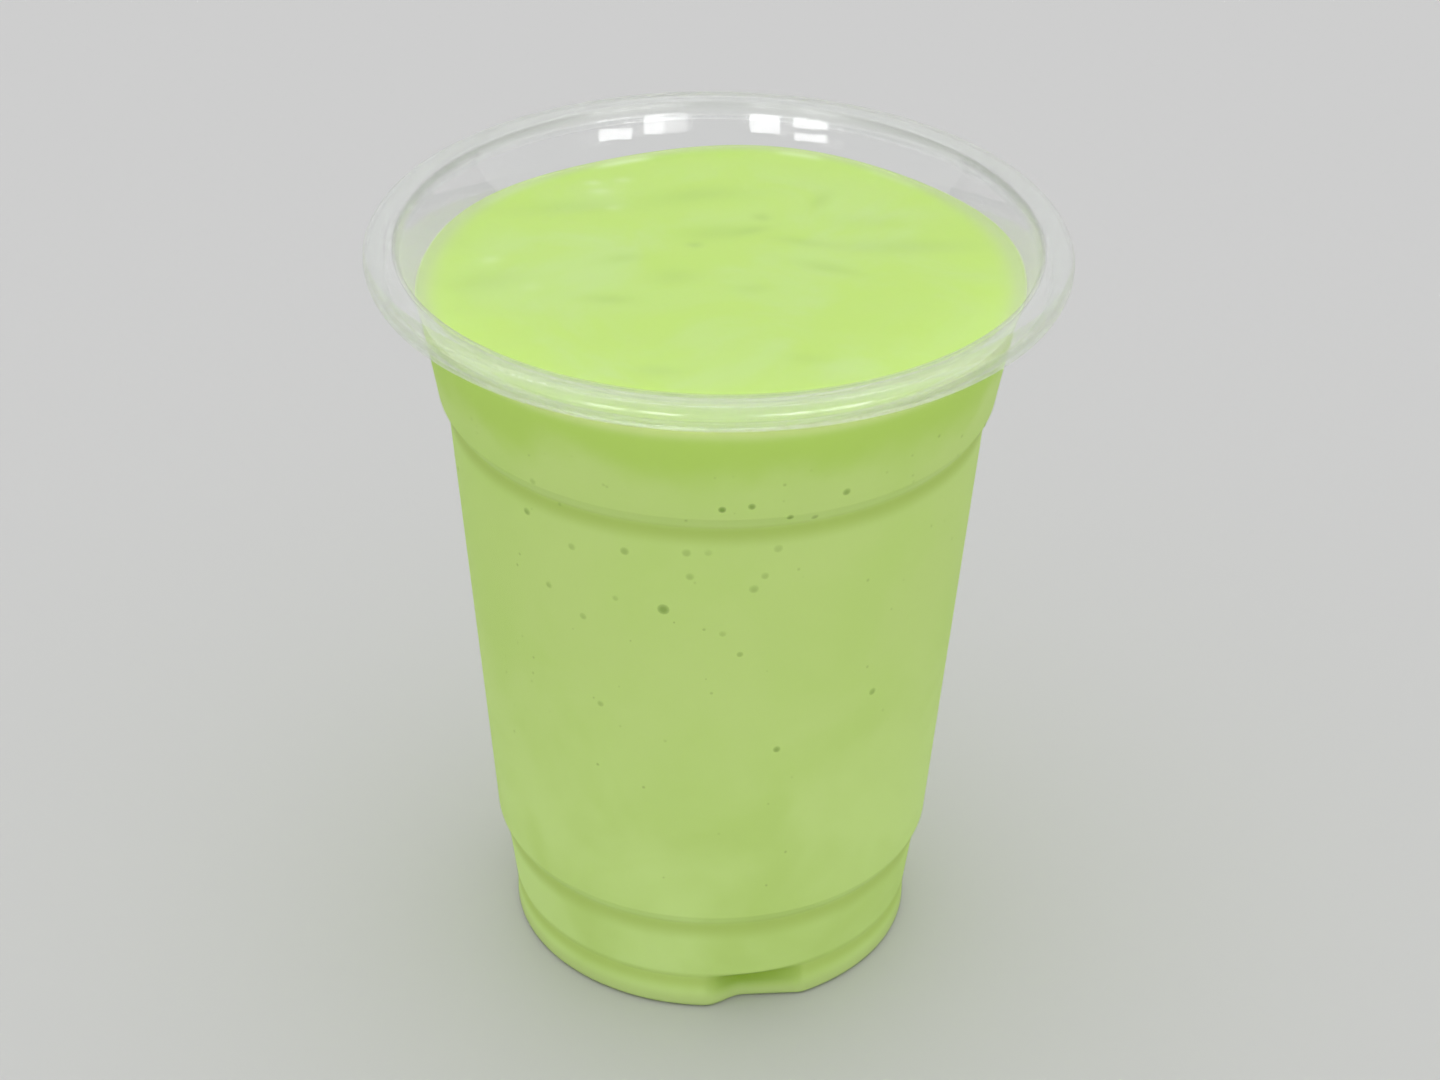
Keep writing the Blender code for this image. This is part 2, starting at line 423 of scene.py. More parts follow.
def drink_path():
    """The top, which curves up to the wall as an exponential of the distance to it, and then the side."""
    side = drink_side()
    edge = side[0, 0]
    level_radii = np.arange(0, edge - MENISCUS_RINGS[0] * MENISCUS_REACH, TOP_RING_STEP)
    radii = np.concatenate([level_radii, edge - MENISCUS_REACH * MENISCUS_RINGS])
    heights = LEVEL - MENISCUS_RISE * (1 - np.exp((radii - edge) / MENISCUS_REACH))
    return np.concatenate([np.stack([radii, heights], 1), side])


def wall_radius(heights):
    """The radius of the drink at the wall. Above the level edge the wall goes on at the same slope."""
    wall = drink_side()[::-1]
    wall = wall[np.argmax(wall[:, 1] > STEP_FOOT[1]):]
    slope = (wall[-1, 0] - wall[-2, 0]) / (wall[-1, 1] - wall[-2, 1])
    return np.interp(heights, wall[:, 1], wall[:, 0]) + slope * np.maximum(heights - LEVEL, 0)


def uneven_top(radius, height, angle):
    """The top tilted and waved a little, less at the front, with its edge kept on the wall."""
    front = (1 - np.sin(angle)) / 2
    wave = np.cos(EDGE_WAVES * (angle - EDGE_WAVE_CREST)) * (1 - (1 - FRONT_WAVE_SHARE) * front)
    lift = TILT * radius * np.cos(angle) + EDGE_WAVE_HEIGHT * wave * (radius / RIM_RADIUS) ** 2
    lifted = height + lift * np.clip((height - LEVEL + STILL_DEPTH) / (STILL_DEPTH - MENISCUS_RISE), 0, 1)
    return radius * wall_radius(lifted) / wall_radius(height), lifted, angle


print("path of the drink:", len(drink_path()), "points")

# %% [markdown]
# Marks on the drink's top
#
# A thick drink keeps the marks of its pouring: faint darker wisps where it folded over itself, mostly side
# by side because it was poured from one side, and a few pale spots. Each wisp is a soft oval, a
# two-dimensional bell curve that is long one way and narrow the other. The places are listed one by one, as
# the marks of a real pouring lie.

# %% Wisps and pale spots
# Place, half length and half width in mm, turn in degrees, and strength
WISPS = (
    (-0.5, 15.0, 4.6, 1.4, 3, 0.7), (-3.4, 11.7, 1.1, 0.6, 0, 1.0), (4.5, 15.2, 2.6, 0.8, 20, 0.8),
    (5.8, 19.5, 1.3, 0.8, -30, 1.0), (-3.0, 26.5, 7.5, 1.6, 4, 0.7), (14.1, 25.0, 2.6, 0.9, 65, 0.8),
    (-13.2, 6.9, 2.6, 0.8, 5, 0.7), (-20.5, 23.0, 8.5, 1.5, 6, 0.6), (25.0, 10.5, 9.0, 1.5, -4, 0.75),
    (11.5, 12.0, 4.0, 0.9, -10, 0.7), (14.9, 3.9, 4.4, 0.9, -22, 0.85), (-14.5, -4.5, 3.4, 0.9, 0, 0.8),
    (-6.0, 1.5, 3.2, 1.6, 12, 0.6), (-32.0, 0.5, 5.5, 2.0, 8, 0.6), (-7.5, -24.5, 3.0, 0.9, 0, 0.6),
    (11.5, -21.5, 3.2, 1.1, -6, 0.5), (4.5, -1.5, 2.6, 0.9, 10, 0.5), (21.0, 18.0, 6.0, 1.4, -14, 0.4),
)
# What every half width is multiplied by
WISP_WIDTH = 1.5
# How far a wisp bends in mm, and the angle in radians that its bends gain for each mm along x and y
WISP_BEND = 0.4
WISP_BEND_RATE = (0.3, 0.2)
# Place and half length in mm, and strength
PALE_SPOTS = ((-18.2, 31.2, 1.1, 0.5), (-14.0, 32.0, 1.2, 0.4), (-17.2, 28.2, 1.4, 0.4), (-15.0, 22.8, 1.1, 0.3),
         (-31.1, 6.6, 1.3, 0.4), (-25.2, -1.2, 1.6, 0.15))
PALE_SPOT_ROUNDNESS = 0.8


def bell(x, y, half_length, half_width, turn):
    """exp(-(along / half_length)^2 - (across / half_width)^2), with along and across turned by an angle."""
    along = x * math.cos(turn) + y * math.sin(turn)
    across = y * math.cos(turn) - x * math.sin(turn)
    return np.exp(-(along / half_length) ** 2 - (across / half_width) ** 2)


def marks_at(x, y):
    """The strengths of wisps and of pale spots at places given in metres."""
    x, y = MM_PER_M * x, MM_PER_M * y
    # A wisp is never quite straight, so the places are bent a little by a slow wave
    bent = y + WISP_BEND * np.sin(WISP_BEND_RATE[0] * x + WISP_BEND_RATE[1] * y)
    wisp = sum(strength * bell(x - u, bent - v, length, WISP_WIDTH * width, math.radians(turn))
               for u, v, length, width, turn, strength in WISPS)
    pale_marks = sum(strength * bell(x - u, y - v, size, size * PALE_SPOT_ROUNDNESS, 0)
                for u, v, size, strength in PALE_SPOTS)
    return np.minimum(wisp, 1), np.minimum(pale_marks, 1)


print(len(WISPS), "wisps and", len(PALE_SPOTS), "froth spots")

# %% [markdown]
# The drink as one surface
#
# The top, the side and the underside are one turned grid. Its relief is real: each wisp is a groove a
# twentieth of a millimetre deep, each pale spot and each painted highlight along the wall a low bump, and a
# slow swell keeps the top from looking like a mirror. The marks and the distance to the wall are stored on
# the points, where the finishes read them later.

# %% Build the drink
WISP_DEPTH = 0.00005
PALE_MARK_HEIGHT = 0.00022
# Painted highlights along the drink's wet edge: middle and half width in degrees from the back, to the right,
# and strength
WALL_GLINTS = ((-20.5, 5.5, 1.0), (16.5, 4.5, 0.8), (38.0, 6.0, 0.3), (-48.0, 8.0, 0.2), (165.0, 9.0, 0.5))
WALL_GLINTS_FROM_WALL = 0.0009
WALL_GLINTS_WIDTH = 0.0005
SWELL_HEIGHT = 0.00012
SWELL_LENGTH = 0.013
# Each wave of the swell: how fast it turns along x and along y, and the angle that it starts at
SWELL_WAVES = ((0.5, 1.0, 0), (0.9, -0.5, 1), (0.0, 1.4, 2))
SHORE_WIDTH = 0.0007
SHORE_WIDTH_AT_SIDES = 0.0014
# The distance that the side stores, so large that no mark of the top's edge reaches it
FAR_FROM_WALL = 1.0
NOTCH_SHADE_POWER = 0.45
NOTCH_SHADE_FOOT = (0.0014, 0.0036)
NOTCH_SHADE_TOP = (0.0050, 0.0062)


def swell(x, y):
    """The mean of a few slow waves that cross each other, of about SWELL_LENGTH each."""
    rate = 2 * math.pi / SWELL_LENGTH
    waves = [np.sin(rate * (u * x + v * y) + start) for u, v, start in SWELL_WAVES]
    return sum(waves) / len(waves)


def glints_at_wall(angle, to_wall):
    """A thin painted highlight, a bell curve of the distance to the wall, along a few stretches of the edge.
    """
    from_back = math.pi / 2 - angle
    from_back = (from_back + math.pi) % (2 * math.pi) - math.pi
    along = sum(strength * np.exp(-((from_back - math.radians(middle)) / math.radians(half_width)) ** 4)
                for middle, half_width, strength in WALL_GLINTS)
    return along * np.exp(-((to_wall - WALL_GLINTS_FROM_WALL) / WALL_GLINTS_WIDTH) ** 2)


def shore_at(angle, to_wall):
    """The shore of painted light at the drink's edge, pale where light passes through the thin drink: a bell
    curve of the distance to the wall, wider at the sides.
    """
    width = SHORE_WIDTH + SHORE_WIDTH_AT_SIDES * np.cos(angle) ** 4
    return np.exp(-(to_wall / width) ** 2)


def shade_in_notch(height, angle):
    """How dark the drink looks in a notch: the notch's depth there, as a share of the deepest."""
    depth = np.clip(notch_depth(angle) / (FOOT_EDGE[0] - FLAT_DISTANCE), 0, 1) ** NOTCH_SHADE_POWER
    return depth * smooth_step(height, *NOTCH_SHADE_FOOT) * (1 - smooth_step(height, *NOTCH_SHADE_TOP))


def build_drink():
    """The drink's path turned, notched at the foot, made uneven at the top, and marked."""
    radius, height, angle = grid_of(drink_path(), DRINK_SEGMENTS)
    in_notch = shade_in_notch(height, angle)
    radius, height, angle = notched(radius, height, angle)
    rows_on_top = len(radius) - len(drink_side())
    radius, height, angle = uneven_top(radius, height, angle)
    to_wall = np.full(radius.shape, FAR_FROM_WALL)
    to_wall[:rows_on_top] = wall_radius(height[:rows_on_top]) - radius[:rows_on_top]
    x, y = radius * np.cos(angle), radius * np.sin(angle)
    wisp, pale_marks = marks_at(x, y)
    # The pale spots, and the painted highlights along the wall, which are raised like them
    pale_marks = np.minimum(pale_marks + glints_at_wall(angle, to_wall), 1)
    lift = PALE_MARK_HEIGHT * pale_marks - WISP_DEPTH * wisp + SWELL_HEIGHT * swell(x, y)
    height[:rows_on_top] += (lift * smooth_step(to_wall, 0, 2 * MENISCUS_REACH))[:rows_on_top]
    mesh = turned_mesh("shake_body", radius, height, angle)
    stored = {"wisp": wisp, "pale_marks": pale_marks, "mm_to_wall": to_wall * MM_PER_M,
              "shore": shore_at(angle, to_wall), "in_notch": in_notch}
    for name, values in stored.items():
        store(mesh, name, one_at_ends(values))
    return add_piece(mesh)


drink = build_drink()
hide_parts("avocado_shake")

# %% [markdown]
# Bubbles against the plastic
#
# Blending beats air into the drink, and some of it rests against the plastic as small bubbles. The larger
# ones are listed one by one. The fine ones are too many for that, so a seeded draw places them, more of them
# high up, where bubbles rise to. A particle system could scatter them too, but a draw of plain numbers is
# the same on every run and needs no emitter.

# %% Place the bubbles
# Angle from FRONT in degrees, to the right; height and radius in mm; and how dark
LARGE_BUBBLES = (
    (-10.5, 72.5, 1.00, 0.8), (1.4, 89.8, 0.62, 1.0), (7.0, 90.2, 0.62, 0.8), (14.7, 87.8, 0.60, 0.8),
    (25.8, 90.5, 0.70, 0.7), (-42.2, 82.2, 0.70, 0.6), (-30.7, 79.5, 0.70, 0.35), (-18.5, 81.0, 0.75, 0.5),
    (-37.6, 71.6, 0.65, 0.4), (5.8, 65.5, 0.55, 0.5), (39.1, 54.1, 0.70, 0.6), (-25.9, 54.4, 0.60, 0.4),
    (15.0, 48.6, 0.65, 0.7), (-5.6, 82.0, 0.75, 0.35), (-1.2, 82.2, 0.65, 0.2), (-4.9, 78.2, 0.70, 0.4),
    (13.0, 82.4, 0.75, 0.3), (10.5, 78.2, 0.65, 0.35), (8.3, 76.2, 0.80, 0.4), (-29.0, 68.5, 0.65, 0.4),
    (20.0, 87.0, 0.60, 0.5), (-38.0, 88.6, 0.60, 0.3), (2.0, 69.0, 0.60, 0.3), (-21.0, 73.0, 0.55, 0.3),
    (128.0, 84.5, 0.80, 0.8), (171.0, 77.0, 0.70, 0.7), (-122.0, 90.0, 0.75, 0.8), (-98.0, 63.0, 0.60, 0.6),
    (96.0, 46.0, 0.65, 0.6), (150.0, 91.0, 0.60, 0.7), (-160.0, 69.0, 0.75, 0.5), (-75.0, 78.0, 0.60, 0.5),
    (70.0, 88.0, 0.65, 0.7), (-140.0, 40.0, 0.60, 0.6), (110.0, 74.0, 0.70, 0.4), (-110.0, 78.0, 0.70, 0.4),
)
FRONT = -90
FINE_BUBBLES = 340
FINE_BUBBLE_SIZES = (0.00012, 0.00036)
FINE_BUBBLE_SIZE_POWER = 0.6
FINE_BUBBLE_SHADES = (0.15, 0.5)
FINE_BUBBLES_FROM = STEP_TOP[1]
FINE_BUBBLES_UP_TO = LEVEL - 0.007
BUBBLE_SEED = 11


def bubble_places():
    """Angle, height, radius and darkness of each bubble. The square root crowds fine ones at the top."""
    draw = np.random.default_rng(BUBBLE_SEED)
    large = np.array(LARGE_BUBBLES)
    angle = np.radians(large[:, 0] + FRONT)
    height = large[:, 1] / MM_PER_M
    size = large[:, 2] / MM_PER_M
    fine_angle = draw.uniform(0, 2 * math.pi, FINE_BUBBLES)
    share_up = np.sqrt(draw.uniform(0, 1, FINE_BUBBLES))
    fine_height = FINE_BUBBLES_FROM + (FINE_BUBBLES_UP_TO - FINE_BUBBLES_FROM) * share_up
    smallest, largest = FINE_BUBBLE_SIZES
    fine_size = smallest + (largest - smallest) * draw.power(FINE_BUBBLE_SIZE_POWER, FINE_BUBBLES)
    fine_shade = draw.uniform(*FINE_BUBBLE_SHADES, FINE_BUBBLES)
    return (np.concatenate([angle, fine_angle]), np.concatenate([height, fine_height]),
            np.concatenate([size, fine_size]), np.concatenate([large[:, 3], fine_shade]))


print(len(LARGE_BUBBLES), "large bubbles and", FINE_BUBBLES, "fine ones")

# %% [markdown]
# The domes of the bubbles
#
# Seen through the sheet each bubble is a round spot, darker than the drink because little light comes out
# of it. Each is a low dome on the drink's side, whose height falls off with the square of the distance from
# its middle. A few dozen faces are enough for each, because the finish does the rest.

# %% Build the bubbles
BUBBLE_RISE = 0.00010
BUBBLE_FULL_RISE_FROM = 0.0005
BUBBLE_SINK = 0.00003
BUBBLE_SIDES = 12
# The radius of each ring of a dome, as a share of the dome's own
BUBBLE_RINGS = np.array([1.0, 0.8, 0.55, 0.3])
BUBBLE_SOFTNESS = 1.1


def dome_faces():
    """One dome's triangles: a fan that closes it below, two for each side between rings, a fan on top."""
    side = np.arange(BUBBLE_SIDES)
    after = (side + 1) % BUBBLE_SIDES
    faces = [np.stack([np.zeros_like(side), 1 + after, 1 + side], 1)]
    for ring in range(len(BUBBLE_RINGS) - 1):
        low, high = 1 + ring * BUBBLE_SIDES, 1 + (ring + 1) * BUBBLE_SIDES
        faces.append(np.stack([low + side, low + after, high + after], 1))
        faces.append(np.stack([low + side, high + after, high + side], 1))
    last = 1 + (len(BUBBLE_RINGS) - 1) * BUBBLE_SIDES
    faces.append(np.stack([last + side, last + after, np.full_like(side, last + BUBBLE_SIDES)], 1))
    return np.concatenate(faces)


def build_bubbles():
    """All domes in one mesh: rings at shares of the radius, raised by BUBBLE_RISE (1 - share^2)."""
    angle, height, size, shade = bubble_places()
    around = np.arange(BUBBLE_SIDES) * 2 * math.pi / BUBBLE_SIDES
    across = np.concatenate([[0], np.outer(BUBBLE_RINGS, np.cos(around)).ravel(), [0]])
    upward = np.concatenate([[0], np.outer(BUBBLE_RINGS, np.sin(around)).ravel(), [0]])
    rise = np.concatenate([[0], np.repeat(1 - BUBBLE_RINGS ** 2, BUBBLE_SIDES), [1]])
    up = height[:, None] + size[:, None] * upward
    turn = angle[:, None] + size[:, None] * across / wall_radius(height)[:, None]
    rise_here = BUBBLE_RISE * np.minimum(size / BUBBLE_FULL_RISE_FROM, 1)[:, None] * rise
    out = wall_radius(up) + rise_here - BUBBLE_SINK
    points = np.stack([out * np.cos(turn), out * np.sin(turn), up], 2)
    first_points = points.shape[1] * np.arange(len(angle))
    triangles = (dome_faces()[None] + first_points[:, None, None]).reshape(-1, 3)
    mesh = bpy.data.meshes.new("bubbles")
    mesh.from_pydata(points.reshape(-1, 3), [], triangles)
    mesh.shade_smooth()
    store(mesh, "shade", (shade[:, None] * np.minimum(rise * BUBBLE_SOFTNESS, 1)).ravel())
    return add_piece(mesh)


bubbles = build_bubbles()

# %% [markdown]
# Shader maths as Python
#
# A material is a graph of nodes. Written as sums, such as 1 - mask * 0.5, it is far easier to read, so a
# small class stands for the output of a node and turns each sum into a Math node. Every other kind of node
# comes from one method, and a few short methods name the nodes that come up most.

# %% A wire and a finish
class Wire:
    """The output of a node. A sum of wires and numbers adds Math nodes and gives a new wire."""

    def __init__(self, finish, socket):
        self.finish = finish
        self.socket = socket

    def maths(self, operation, first, second):
        """One Math node."""
        return self.finish.node("Math", {"operation": operation}, {0: first, 1: second})

    def __add__(self, other):
        return self.maths("ADD", self, other)

    def __radd__(self, other):
        return self.maths("ADD", other, self)

    def __sub__(self, other):
        return self.maths("SUBTRACT", self, other)

    def __rsub__(self, other):
        return self.maths("SUBTRACT", other, self)

    def __mul__(self, other):
        return self.maths("MULTIPLY", self, other)

    def __rmul__(self, other):
        return self.maths("MULTIPLY", other, self)


class Finish:
    """A material whose nodes are added one by one."""

    def __init__(self, name):
        self.material = bpy.data.materials.new(name)
        self.material.use_nodes = True
        self.tree = self.material.node_tree
        self.tree.nodes.clear()

    def node(self, kind, settings=None, inputs=None, output=0):
        """Adds a node: its settings first, then the values of its sockets or the wires that feed them."""
        made = self.tree.nodes.new("ShaderNode" + kind)
        for name, value in (settings or {}).items():
            setattr(made, name, value)
        for name, value in (inputs or {}).items():
            if isinstance(value, Wire):
                self.tree.links.new(value.socket, made.inputs[name])
            else:
                made.inputs[name].default_value = value
        return Wire(self, made.outputs[output]) if made.outputs else made

    def place(self):
        """Where a spot is on the piece, in metres."""
        return self.node("TexCoord", output="Object")

    def height_of(self, place):
        """The height of a place, in mm."""
        return self.node("SeparateXYZ", inputs={"Vector": place}, output="Z") * MM_PER_M

    def stored(self, name):
        """The number that the piece stores on its points under a name."""
        return self.node("Attribute", {"attribute_name": name}, output="Fac")

    def clouds(self, place, scale, detail, distortion=0.0):
        """Cloudy noise between 0 and 1, with about as many clouds to a metre as its scale says."""
        return self.node("TexNoise", inputs={"Vector": place, "Scale": scale, "Detail": detail,
                                             "Distortion": distortion})

    def relief(self, height, strength, distance):
        """Fine bumps that change the shading alone."""
        return self.node("Bump", inputs={"Strength": strength, "Distance": distance, "Height": height})

    def between(self, value, low, high):
        """0 below low, 1 above high, and a smooth rise between them."""
        return self.node("MapRange", {"interpolation_type": "SMOOTHSTEP"}, {"Value": value, 1: low, 2: high})

    def blend(self, first, second, factor):
        """A Mix node between two colours."""
        return self.node("Mix", {"data_type": "RGBA"}, {"Factor": factor, 6: first, 7: second}, output=2)

    def share(self, first, second, factor):
        """A Mix Shader: the first surface where the factor is 0, and the second where it is 1."""
        return self.node("MixShader", inputs={0: factor, 1: first, 2: second})

    def done(self, surface):
        """The material, with the surface wired to its output."""
        self.node("OutputMaterial", inputs={"Surface": surface})
        return self.material


def linear(red, green, blue):
    """A colour of 0 to 255, as on a screen, turned into amounts of light by the sRGB formula."""
    screen = np.array([red, green, blue]) / 255
    values = np.where(screen <= 0.04045, screen / 12.92, ((screen + 0.055) / 1.055) ** 2.4)
    return (*[float(v) for v in values], 1.0)


def dress(piece, material):
    """Adds a material to a piece and prints how many nodes it has."""
    piece.data.materials.append(material)
    print(piece.name, "wears", material.name, "of", len(material.node_tree.nodes), "nodes")


print("half of the screen's white is", round(linear(128, 128, 128)[0], 2), "of its light")

# %% [markdown]
# Clear plastic
#
# Thin plastic of this kind bends light almost like glass. Pure glass would show a dark and a bright line at
# every bend of the sheet, far stronger than in so thin a wall, so about two thirds of the light passes
# straight through and the rest meets true glass. More passes where the drink wets the wall, which hides its
# inner face. Real glass would also bend the lamps' light into bright patterns, which take very long to
# render. So for rays that only ask whether a lamp is in sight the sheet is plainly see-through. The curled
# bead has a little haze and milkiness, as thick formed plastic has, and the fold inside it shows as a soft
# dark line.

# %% Make the plastic
STRAIGHT_THROUGH = 0.65
STRAIGHT_WHERE_WET = 0.85
# Heights in mm over which the wet wall turns dry, and over which the bead's haze starts
WET_BELOW = (100.5, 102.8)
HAZE_FROM = (107.0, 108.2)
BEAD_MILKINESS = 0.05
FOLD_SHADE = 0.45
SHEET_ROUGHNESS = 0.02
ROUGHER_ON_BEAD = 0.09
GLASS = {"Base Color": (0.995, 1.0, 0.997, 1), "IOR": 1.45, "Transmission Weight": 1.0}
SEE_THROUGH = {"Color": (0.985, 0.99, 0.987, 1)}
MILKY = {"Base Color": (0.68, 0.70, 0.68, 1), "Roughness": 0.4}
SHADED = {"Base Color": (0.28, 0.30, 0.25, 1), "Roughness": 0.3}
# Scale and detail of the sheet's slight waves, and the strength and depth of their relief
SHEET_WAVES = (120.0, 2.0)
SHEET_RELIEF = (0.09, 0.0003)


def clear_plastic():
    """Glass for what is seen, and see-through for lamps."""
    finish = Finish("clear_plastic")
    place = finish.place()
    height = finish.height_of(place)
    haze = finish.between(height, *HAZE_FROM)
    glass = finish.node("BsdfPrincipled", inputs={
        **GLASS, "Roughness": haze * ROUGHER_ON_BEAD + SHEET_ROUGHNESS,
        "Normal": finish.relief(finish.clouds(place, *SHEET_WAVES), *SHEET_RELIEF)})
    see_through = finish.node("BsdfTransparent", inputs=SEE_THROUGH)
    milky = finish.node("BsdfPrincipled", inputs=MILKY)
    shaded = finish.node("BsdfPrincipled", inputs=SHADED)
    dry = finish.between(height, *WET_BELOW)
    straight = dry * (STRAIGHT_THROUGH - STRAIGHT_WHERE_WET) + STRAIGHT_WHERE_WET
    seen = finish.share(glass, see_through, straight)
    seen = finish.share(seen, milky, haze * BEAD_MILKINESS)
    seen = finish.share(seen, shaded, finish.stored("fold") * FOLD_SHADE)
    to_lamp = finish.node("LightPath", output="Is Shadow Ray")
    return finish.done(finish.share(seen, see_through, to_lamp))


dress(cup, clear_plastic())

# %% [markdown]
# The top of the shake
#
# The drink is blended fruit and milk: opaque, with light that wanders a little way in before it comes out,
# which Subsurface stands for. Its top is wet and faintly streaked where it settled. One green would look
# like paint, so two greens in soft clouds come first. Over them go a painted shade near the wall, the wisps,
# a shore of painted light where the drink is thin, the pale spots, and painted highlights along the wall.

# %% The finish of the shake's top
TOP_GREEN = linear(194, 225, 136)
# Deeper green for the clouds, and for the painted shade near the wall
DEEPER_AND_WALL_SHADE_GREEN = linear(192, 225, 117)
WISP_GREEN = linear(178, 210, 114)
# Painted light: pale grey where light passes through the thin drink at its edge
SHORE_LIGHT_GREEN = linear(192, 207, 161)
# Pale spots, and painted highlights along the wall
PALE_MARK_GREEN = linear(216, 238, 176)
# Scale, detail and distortion of the clouds, and the noise values between which the greens change over
TOP_CLOUDS = (55.0, 4.0, 0.6)
TOP_CHANGE = (0.35, 0.65)
# Scale and detail of the grain, and the strength and depth of its relief
TOP_GRAIN = (900.0, 2.0)
TOP_RELIEF = (0.08, 0.0002)
# Distances from the wall in mm over which the painted shade at the drink's edge runs out, and its strength
WALL_SHADE_RUN_OUT = (2.0, 12.0)
WALL_SHADE_STRENGTH = 0.7
# The least strength of wisps and of the shore, and what the clouds add to it
WISP_STRENGTH = (0.35, 0.6)
SHORE_STRENGTH = (0.6, 0.4)
PALE_MARK_STRENGTH = 0.85
WET_SKIN = {"Roughness": 0.24, "IOR": 1.36, "Specular IOR Level": 0.2, "Subsurface Weight": 0.15,
            "Subsurface Radius": (0.6, 1.0, 0.25), "Subsurface Scale": 0.0015}


def shake_top():
    """Wet and satin: wisps, pale spots, painted highlights and painted shade near the wall, and a paler shore
    of painted light where the drink is thin against the sloping wall.
    """
    finish = Finish("shake_top")
    place = finish.place()
    cloud = finish.clouds(place, *TOP_CLOUDS)
    wall_shade = 1 - finish.between(finish.stored("mm_to_wall"), *WALL_SHADE_RUN_OUT)
    wisp = finish.stored("wisp") * (WISP_STRENGTH[0] + cloud * WISP_STRENGTH[1])
    shore = finish.stored("shore") * (SHORE_STRENGTH[0] + cloud * SHORE_STRENGTH[1])
    green = finish.blend(TOP_GREEN, DEEPER_AND_WALL_SHADE_GREEN, finish.between(cloud, *TOP_CHANGE))
    green = finish.blend(green, DEEPER_AND_WALL_SHADE_GREEN, wall_shade * WALL_SHADE_STRENGTH)
    green = finish.blend(green, WISP_GREEN, wisp)
    green = finish.blend(green, SHORE_LIGHT_GREEN, shore)
    green = finish.blend(green, PALE_MARK_GREEN, finish.stored("pale_marks") * PALE_MARK_STRENGTH)
    grain = finish.relief(finish.clouds(place, *TOP_GRAIN), *TOP_RELIEF)
    skin = finish.node("BsdfPrincipled", inputs={"Base Color": green, "Normal": grain, **WET_SKIN})
    return finish.done(skin)


dress(drink, shake_top())

# %% [markdown]
# The side of the shake
#
# The side has no shine of its own, because the plastic touches it. Its green is worked out from the height,
# and light and shade are painted into it: paler low down, painted light that offsets the shade near the
# floor; a deeper uneven band of painted shade under the drink's upper edge, deep green where light reaches it
# only through the drink; a paler strip of painted light at that edge, where the thin drink is lit through
# from above; and a soft painted shade under the shoulder, the step and the crease, where less light comes in
# from above. A painted picture could carry this too, but it would need an unwrapped surface, and the height
# with a little noise says enough.

# %% The finish of the shake's side
SIDE_GREEN = linear(203, 229, 137)
SIDE_DEEP_GREEN = linear(199, 228, 130)
# Paler low down: painted light that offsets the shade near the floor
SIDE_LOW_LIGHT_GREEN = linear(211, 239, 148)
LEDGE_GREEN = linear(184, 211, 110)
# Painted shade under the rim, deep green where light reaches it only through the drink
SHADE_BAND_GREEN = linear(187, 221, 104)
# Painted light at the drink's thin upper edge, lit through from above
UPPER_EDGE_LIGHT_GREEN = linear(211, 231, 146)
FOOT_EDGE_GREEN = linear(191, 213, 135)
NOTCH_GREEN = linear(153, 186, 70)
# Heights in mm over which one green turns into the next
FOOT_EDGE_CHANGE = (0.2, 4.2)
LOW_CHANGE = (5.0, 70.0)
BAND_BOTTOM = (91.5, 98.5)
BAND_TOP = (100.0, 102.0)
UPPER_EDGE_CHANGE = (100.6, 102.8)
# How far in mm the waves move the bottom of the band of painted shade, and its strength
BAND_UNEVENNESS = 16
BAND_STRENGTH = 0.9
# Scale, detail and distortion of the clouds, the values between which they change over, and the band's waves
SIDE_CLOUDS = (45.0, 3.0, 0.4)
SIDE_CHANGE = (0.35, 0.7)
BAND_WAVES = (60.0, 3.0)
# Lowest, darkest and highest height in mm of the shade under a ledge, and its strength
LEDGE_SHADES = ((82.6, 85.4, 86.8, 1.0), (12.8, 16.0, 17.6, 0.8), (2.4, 5.0, 6.9, 0.8))
DULL_SKIN = {"Roughness": 0.6, "IOR": 1.38, "Specular IOR Level": 0.0}


def side_green(finish):
    """The drink against the plastic: clouds, painted light low down and at its top edge, and painted shade in
    a band near its top and under each ledge.
    """
    place = finish.place()
    height = finish.height_of(place)
    cloud = finish.clouds(place, *SIDE_CLOUDS)
    uneven = height + (finish.clouds(place, *BAND_WAVES) - 0.5) * BAND_UNEVENNESS
    shade_band = finish.between(uneven, *BAND_BOTTOM) * (1 - finish.between(height, *BAND_TOP))
    green = finish.blend(SIDE_LOW_LIGHT_GREEN, SIDE_GREEN, finish.between(height, *LOW_CHANGE))
    green = finish.blend(green, SIDE_DEEP_GREEN, finish.between(cloud, *SIDE_CHANGE))
    green = finish.blend(green, SHADE_BAND_GREEN, shade_band * BAND_STRENGTH)
    for low, darkest, high, strength in LEDGE_SHADES:
        shade = finish.between(height, low, darkest) * (1 - finish.between(height, darkest, high))
        green = finish.blend(green, LEDGE_GREEN, shade * strength)
    green = finish.blend(FOOT_EDGE_GREEN, green, finish.between(height, *FOOT_EDGE_CHANGE))
    return finish.blend(green, UPPER_EDGE_LIGHT_GREEN, finish.between(height, *UPPER_EDGE_CHANGE))


def shake_side():
    """The side's green, and in the notches of the foot a deep shade."""
    finish = Finish("shake_side")
    green = finish.blend(side_green(finish), NOTCH_GREEN, finish.stored("in_notch"))
    return finish.done(finish.node("BsdfPrincipled", inputs={"Base Color": green, **DULL_SKIN}))


